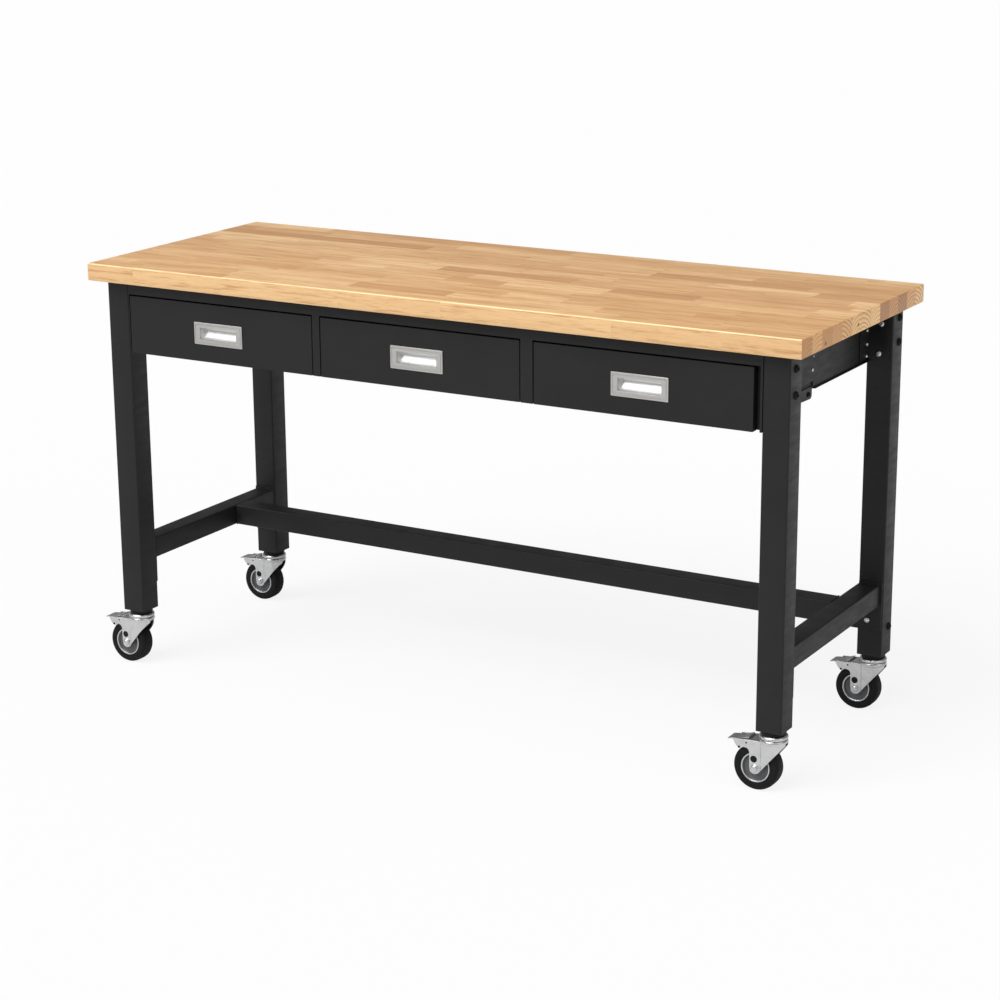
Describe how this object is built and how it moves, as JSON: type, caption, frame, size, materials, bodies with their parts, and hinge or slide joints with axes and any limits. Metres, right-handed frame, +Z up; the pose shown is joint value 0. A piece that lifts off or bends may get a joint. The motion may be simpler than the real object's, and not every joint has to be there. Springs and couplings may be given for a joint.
{
  "type": "workbench with drawers",
  "caption": "Rolling workbench with a butcher-block top, square black steel legs on locking swivel casters, shallow drawers with flush pulls and a lower stretcher frame.",
  "frame": {"origin": "on the floor, at the middle of the outline of the bench as it stands with its casters trailing to the left", "axes": "+Z up, the drawers open towards -Y, +X along the worktop to the right seen from the front"},
  "size_m": [1.7082, 0.626, 0.92],
  "materials": {
    "wood": "clear satin oil on finger-jointed light hardwood",
    "frame_black": "fine satin black powder coat",
    "foot_plastic": "matte",
    "zinc": "bright zinc plate",
    "pedal_zinc": "zinc plate, slightly duller",
    "slide_zinc": "zinc-plated rolled steel",
    "pull_steel": "brushed stainless steel",
    "tyre_rubber": "matte rubber",
    "hub_grey": "satin grey"
  },
  "bodies": {
    "bench": {"worktop": "wood", "leg_front_left": "frame_black", "leg_front_right": "frame_black", "leg_rear_left": "frame_black", "leg_rear_right": "frame_black", "leg_foot_front_left": "foot_plastic", "leg_foot_front_right": "foot_plastic", "leg_foot_rear_left": "foot_plastic", "leg_foot_rear_right": "foot_plastic", "caster_head_front_left": "zinc", "caster_head_front_right": "zinc", "caster_head_rear_left": "zinc", "caster_head_rear_right": "zinc", "lower_side_stretcher_left": "frame_black", "lower_side_stretcher_right": "frame_black", "lower_cross_stretcher": "frame_black", "side_apron_left": "frame_black", "side_apron_right": "frame_black", "rear_apron": "frame_black", "drawer_case": "frame_black", "rear_leg_bracket_left": "frame_black", "rear_leg_bracket_right": "frame_black", "slide_outer_left_a": "slide_zinc", "slide_outer_left_b": "slide_zinc", "slide_outer_middle_a": "slide_zinc", "slide_outer_middle_b": "slide_zinc", "slide_outer_right_a": "slide_zinc", "slide_outer_right_b": "slide_zinc"},
    "drawer_left": {"drawer_front_left": "frame_black", "drawer_box_left": "frame_black", "drawer_pull_left": "pull_steel", "slide_inner_left_a": "slide_zinc", "slide_inner_left_b": "slide_zinc"},
    "drawer_middle": {"drawer_front_middle": "frame_black", "drawer_box_middle": "frame_black", "drawer_pull_middle": "pull_steel", "slide_inner_middle_a": "slide_zinc", "slide_inner_middle_b": "slide_zinc"},
    "drawer_right": {"drawer_front_right": "frame_black", "drawer_box_right": "frame_black", "drawer_pull_right": "pull_steel", "slide_inner_right_a": "slide_zinc", "slide_inner_right_b": "slide_zinc"},
    "caster_front_left": {"caster_fork_front_left": "zinc"},
    "wheel_front_left": {"caster_tyre_front_left": "tyre_rubber", "caster_hub_front_left": "hub_grey"},
    "pedal_front_left": {"caster_pedal_front_left": "pedal_zinc"},
    "caster_front_right": {"caster_fork_front_right": "zinc"},
    "wheel_front_right": {"caster_tyre_front_right": "tyre_rubber", "caster_hub_front_right": "hub_grey"},
    "pedal_front_right": {"caster_pedal_front_right": "pedal_zinc"},
    "caster_rear_left": {"caster_fork_rear_left": "zinc"},
    "wheel_rear_left": {"caster_tyre_rear_left": "tyre_rubber", "caster_hub_rear_left": "hub_grey"},
    "pedal_rear_left": {"caster_pedal_rear_left": "pedal_zinc"},
    "caster_rear_right": {"caster_fork_rear_right": "zinc"},
    "wheel_rear_right": {"caster_tyre_rear_right": "tyre_rubber", "caster_hub_rear_right": "hub_grey"},
    "pedal_rear_right": {"caster_pedal_rear_right": "pedal_zinc"}
  },
  "joints": [
    {"name": "drawer_slide_left", "type": "slide", "parent": "bench", "child": "drawer_left", "axis": [0, -1, 0], "range_m": [0, 0.3]},
    {"name": "drawer_slide_middle", "type": "slide", "parent": "bench", "child": "drawer_middle", "axis": [0, -1, 0], "range_m": [0, 0.3]},
    {"name": "drawer_slide_right", "type": "slide", "parent": "bench", "child": "drawer_right", "axis": [0, -1, 0], "range_m": [0, 0.3]},
    {"name": "swivel_front_left", "type": "hinge", "parent": "bench", "child": "caster_front_left", "pos_m": [-0.76162, -0.25875, 0.109], "axis": [0, 0, 1], "continuous": true},
    {"name": "wheel_spin_front_left", "type": "hinge", "parent": "caster_front_left", "child": "wheel_front_left", "pos_m": [-0.79212, -0.25875, 0.048], "axis": [0, 1, 0], "continuous": true},
    {"name": "brake_pedal_front_left", "type": "hinge", "parent": "caster_front_left", "child": "pedal_front_left", "pos_m": [-0.81263, -0.25875, 0.0985], "axis": [0, 1, 0], "range_deg": [-18, 0]},
    {"name": "swivel_front_right", "type": "hinge", "parent": "bench", "child": "caster_front_right", "pos_m": [0.79387, -0.25875, 0.109], "axis": [0, 0, 1], "continuous": true},
    {"name": "wheel_spin_front_right", "type": "hinge", "parent": "caster_front_right", "child": "wheel_front_right", "pos_m": [0.76338, -0.25875, 0.048], "axis": [0, 1, 0], "continuous": true},
    {"name": "brake_pedal_front_right", "type": "hinge", "parent": "caster_front_right", "child": "pedal_front_right", "pos_m": [0.74287, -0.25875, 0.0985], "axis": [0, 1, 0], "range_deg": [-18, 0]},
    {"name": "swivel_rear_left", "type": "hinge", "parent": "bench", "child": "caster_rear_left", "pos_m": [-0.76162, 0.25875, 0.109], "axis": [0, 0, 1], "continuous": true},
    {"name": "wheel_spin_rear_left", "type": "hinge", "parent": "caster_rear_left", "child": "wheel_rear_left", "pos_m": [-0.79212, 0.25875, 0.048], "axis": [0, 1, 0], "continuous": true},
    {"name": "brake_pedal_rear_left", "type": "hinge", "parent": "caster_rear_left", "child": "pedal_rear_left", "pos_m": [-0.81263, 0.25875, 0.0985], "axis": [0, 1, 0], "range_deg": [-18, 0]},
    {"name": "swivel_rear_right", "type": "hinge", "parent": "bench", "child": "caster_rear_right", "pos_m": [0.79387, 0.25875, 0.109], "axis": [0, 0, 1], "continuous": true},
    {"name": "wheel_spin_rear_right", "type": "hinge", "parent": "caster_rear_right", "child": "wheel_rear_right", "pos_m": [0.76338, 0.25875, 0.048], "axis": [0, 1, 0], "continuous": true},
    {"name": "brake_pedal_rear_right", "type": "hinge", "parent": "caster_rear_right", "child": "pedal_rear_right", "pos_m": [0.74287, 0.25875, 0.0985], "axis": [0, 1, 0], "range_deg": [-18, 0]}
  ]
}
